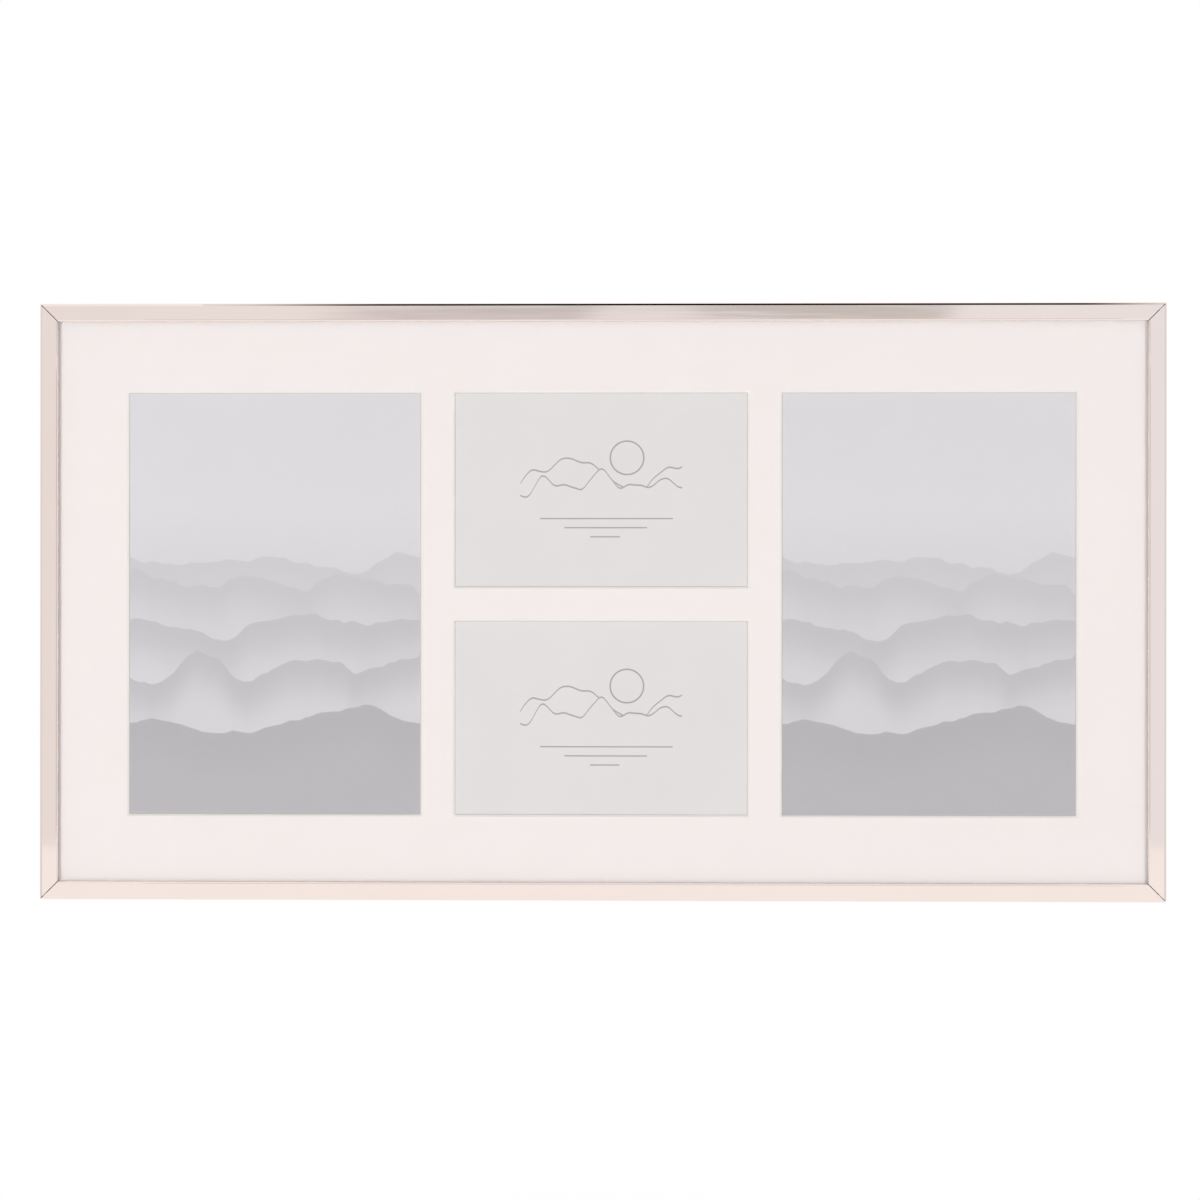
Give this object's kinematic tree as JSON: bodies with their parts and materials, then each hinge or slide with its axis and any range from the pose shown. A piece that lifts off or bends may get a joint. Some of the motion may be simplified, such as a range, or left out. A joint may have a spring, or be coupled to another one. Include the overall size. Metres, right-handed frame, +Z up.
{
  "type": "collage photo frame",
  "caption": "Wide, shallow wall frame in bright plated metal with mitred rails, glass and a bevel-cut mat for tall and wide prints, closed at the back by swivel clips.",
  "frame": {"origin": "centre of the whole frame's box, midway through its depth", "axes": "+X to the right seen from the front, +Y to the rear (the wall), +Z up"},
  "size_m": [0.47, 0.014, 0.2494],
  "materials": {
    "plated_rail": "bright polished nickel plating on rolled steel, slightly wavy",
    "key_steel": "zinc plated strip",
    "screw_steel": "black oxide",
    "glass": "clear float glass with ground edges",
    "mat_card": "fine matt card with a cream core",
    "insert_paper": "satin photo paper",
    "paper_tape": "gummed paper tape",
    "hardboard": "pressed hardboard, smooth face out",
    "spring_steel": "nickel plated spring strip",
    "hanger_steel": "nickel plated",
    "rivet_metal": "bright aluminium rivets"
  },
  "bodies": {
    "frame": {"rail_top": "plated_rail", "rail_bottom": "plated_rail", "rail_left": "plated_rail", "rail_right": "plated_rail", "corner_key_top_left": "key_steel", "corner_key_top_right": "key_steel", "corner_key_bottom_left": "key_steel", "corner_key_bottom_right": "key_steel", "corner_key_screws": "screw_steel", "glass_pane": "glass", "mat_board": "mat_card", "back_board": "hardboard", "print_left": "insert_paper", "print_right": "insert_paper", "print_middle_top": "insert_paper", "print_middle_bottom": "insert_paper", "print_tapes": "paper_tape", "hanger_strap_left": "hanger_steel", "hanger_strap_right": "hanger_steel", "clip_rivets": "rivet_metal", "hanger_rivets": "rivet_metal"},
    "clip_top_left": {"clip_top_left": "spring_steel"},
    "clip_top_middle": {"clip_top_middle": "spring_steel"},
    "clip_top_right": {"clip_top_right": "spring_steel"},
    "clip_bottom_left": {"clip_bottom_left": "spring_steel"},
    "clip_bottom_middle": {"clip_bottom_middle": "spring_steel"},
    "clip_bottom_right": {"clip_bottom_right": "spring_steel"},
    "clip_left": {"clip_left": "spring_steel"},
    "clip_right": {"clip_right": "spring_steel"},
    "hanger_ring_left": {"hanger_ring_left": "hanger_steel"},
    "hanger_ring_right": {"hanger_ring_right": "hanger_steel"}
  },
  "joints": [
    {"name": "clip_top_left_turn", "type": "hinge", "parent": "frame", "child": "clip_top_left", "pos_m": [-0.1504, 0.0002, 0.10515], "axis": [0, 1, 0], "continuous": true},
    {"name": "clip_top_middle_turn", "type": "hinge", "parent": "frame", "child": "clip_top_middle", "pos_m": [0, 0.0002, 0.10515], "axis": [0, 1, 0], "continuous": true},
    {"name": "clip_top_right_turn", "type": "hinge", "parent": "frame", "child": "clip_top_right", "pos_m": [0.1504, 0.0002, 0.10515], "axis": [0, 1, 0], "continuous": true},
    {"name": "clip_bottom_left_turn", "type": "hinge", "parent": "frame", "child": "clip_bottom_left", "pos_m": [-0.1504, 0.0002, -0.10515], "axis": [0, 1, 0], "continuous": true},
    {"name": "clip_bottom_middle_turn", "type": "hinge", "parent": "frame", "child": "clip_bottom_middle", "pos_m": [0, 0.0002, -0.10515], "axis": [0, 1, 0], "continuous": true},
    {"name": "clip_bottom_right_turn", "type": "hinge", "parent": "frame", "child": "clip_bottom_right", "pos_m": [0.1504, 0.0002, -0.10515], "axis": [0, 1, 0], "continuous": true},
    {"name": "clip_left_turn", "type": "hinge", "parent": "frame", "child": "clip_left", "pos_m": [-0.21545, 0.0002, 0], "axis": [0, 1, 0], "continuous": true},
    {"name": "clip_right_turn", "type": "hinge", "parent": "frame", "child": "clip_right", "pos_m": [0.21545, 0.0002, 0], "axis": [0, 1, 0], "continuous": true},
    {"name": "hanger_ring_left_swing", "type": "hinge", "parent": "frame", "child": "hanger_ring_left", "pos_m": [-0.10575, 0.00208, 0.0956], "axis": [1, 0, 0], "range_deg": [0, 178.3]},
    {"name": "hanger_ring_right_swing", "type": "hinge", "parent": "frame", "child": "hanger_ring_right", "pos_m": [0.10575, 0.00208, 0.0956], "axis": [1, 0, 0], "range_deg": [0, 178.3]}
  ]
}
